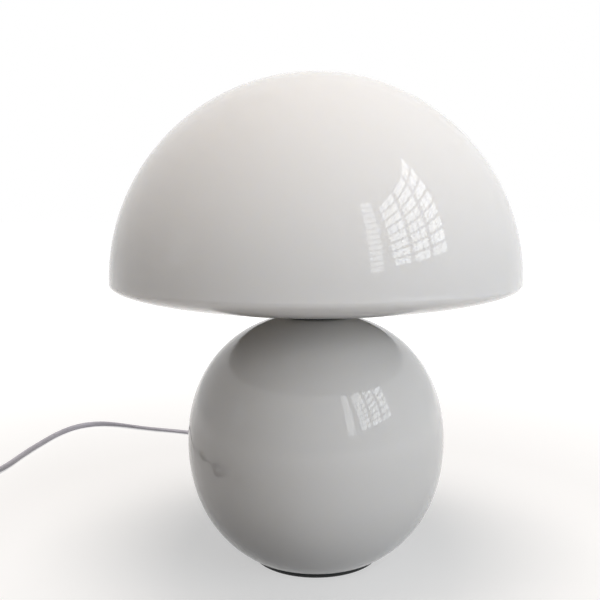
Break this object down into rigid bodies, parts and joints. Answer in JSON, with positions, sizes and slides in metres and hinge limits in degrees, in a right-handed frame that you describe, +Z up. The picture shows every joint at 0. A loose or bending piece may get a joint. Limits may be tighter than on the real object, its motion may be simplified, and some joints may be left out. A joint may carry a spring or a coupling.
{
  "type": "mushroom table lamp",
  "caption": "Table lamp with a domed opal glass shade resting on a round opal glass base, a low dark foot, a bulb inside and a cord with inline switch and plug.",
  "frame": {"origin": "on the table plane under the lamp's upright axis, at the centre of the foot's underside", "axes": "+Z up along the lamp's axis, -Y the front that is pictured, +Y the back where the cord leaves, +X to the viewer's right"},
  "size_m": [0.495, 0.5165, 0.36],
  "materials": {
    "opal_glass_base": "polished opal glass",
    "opal_glass_shade": "polished opal glass",
    "black_rubber": "matt",
    "black_paint": "satin black",
    "raw_iron": "as cast, varnished",
    "zinc_steel": "zinc plated",
    "black_plastic": "moulded",
    "white_plastic": "moulded",
    "white_ceramic": "glazed",
    "nickel_brass": "nickel plated",
    "white_paint": "white lacquer",
    "clear_rubber": "translucent silicone",
    "solder": "tinned",
    "bulb_nickel": "nickel plated",
    "bulb_plastic": "moulded",
    "board_aluminium": "white coated",
    "bulb_frost": "frosted",
    "cord_grip_rubber": "matt",
    "cord_sheath": "smooth flexible sheath",
    "blue_insulation": "smooth",
    "brown_insulation": "smooth",
    "switch_plastic": "moulded",
    "plug_plastic": "moulded",
    "pin_nickel": "nickel plated"
  },
  "bodies": {
    "base": {"globe": "opal_glass_base", "foot_pad": "black_rubber", "foot_gasket": "black_rubber", "foot_plate": "black_paint", "base_weight": "raw_iron", "foot_washer": "zinc_steel", "foot_nut": "zinc_steel", "threaded_tube": "zinc_steel", "neck_bush": "black_plastic", "neck_washer": "zinc_steel", "neck_nut": "zinc_steel", "neck_collar": "black_paint", "holder_cap": "white_plastic", "holder_sleeve": "white_plastic", "holder_insert": "white_ceramic", "screw_shell": "nickel_brass", "centre_contact": "nickel_brass", "terminal_blocks": "nickel_brass", "terminal_screws": "zinc_steel", "shade_ring": "white_plastic", "carrier_hub": "white_paint", "carrier_arm_1": "white_paint", "carrier_arm_2": "white_paint", "carrier_arm_3": "white_paint", "carrier_cap_1": "clear_rubber", "carrier_cap_2": "clear_rubber", "carrier_cap_3": "clear_rubber", "cord_boot": "cord_grip_rubber", "boot_nut": "white_plastic", "cord_inside": "cord_sheath", "core_blue": "blue_insulation", "core_brown": "brown_insulation", "cord_lead": "cord_sheath", "cord_tail": "cord_sheath", "cord_coil": "cord_sheath", "cord_end": "cord_sheath", "switch_base": "switch_plastic", "switch_cover": "switch_plastic", "switch_screws": "zinc_steel", "plug_body": "plug_plastic", "plug_pins": "pin_nickel"},
    "shade": {"shade": "opal_glass_shade"},
    "bulb": {"bulb_contact": "solder", "bulb_insulator": "black_plastic", "bulb_cap": "bulb_nickel", "bulb_housing": "bulb_plastic", "bulb_board": "board_aluminium", "bulb_envelope": "bulb_frost"},
    "rocker": {"switch_rocker": "switch_plastic"}
  },
  "joints": [
    {"name": "shade_lift", "type": "slide", "parent": "base", "child": "shade", "axis": [0, 0, 1], "range_m": [0, 0.16]},
    {"name": "bulb_turn", "type": "hinge", "parent": "base", "child": "bulb", "pos_m": [0, 0, 0.25], "axis": [0, 0, 1], "range_deg": [0, 900]},
    {"name": "switch_rock", "type": "hinge", "parent": "base", "child": "rocker", "pos_m": [-0.332, 0.075, 0.0115], "axis": [1, 0, 0], "range_deg": [0, 16]}
  ]
}
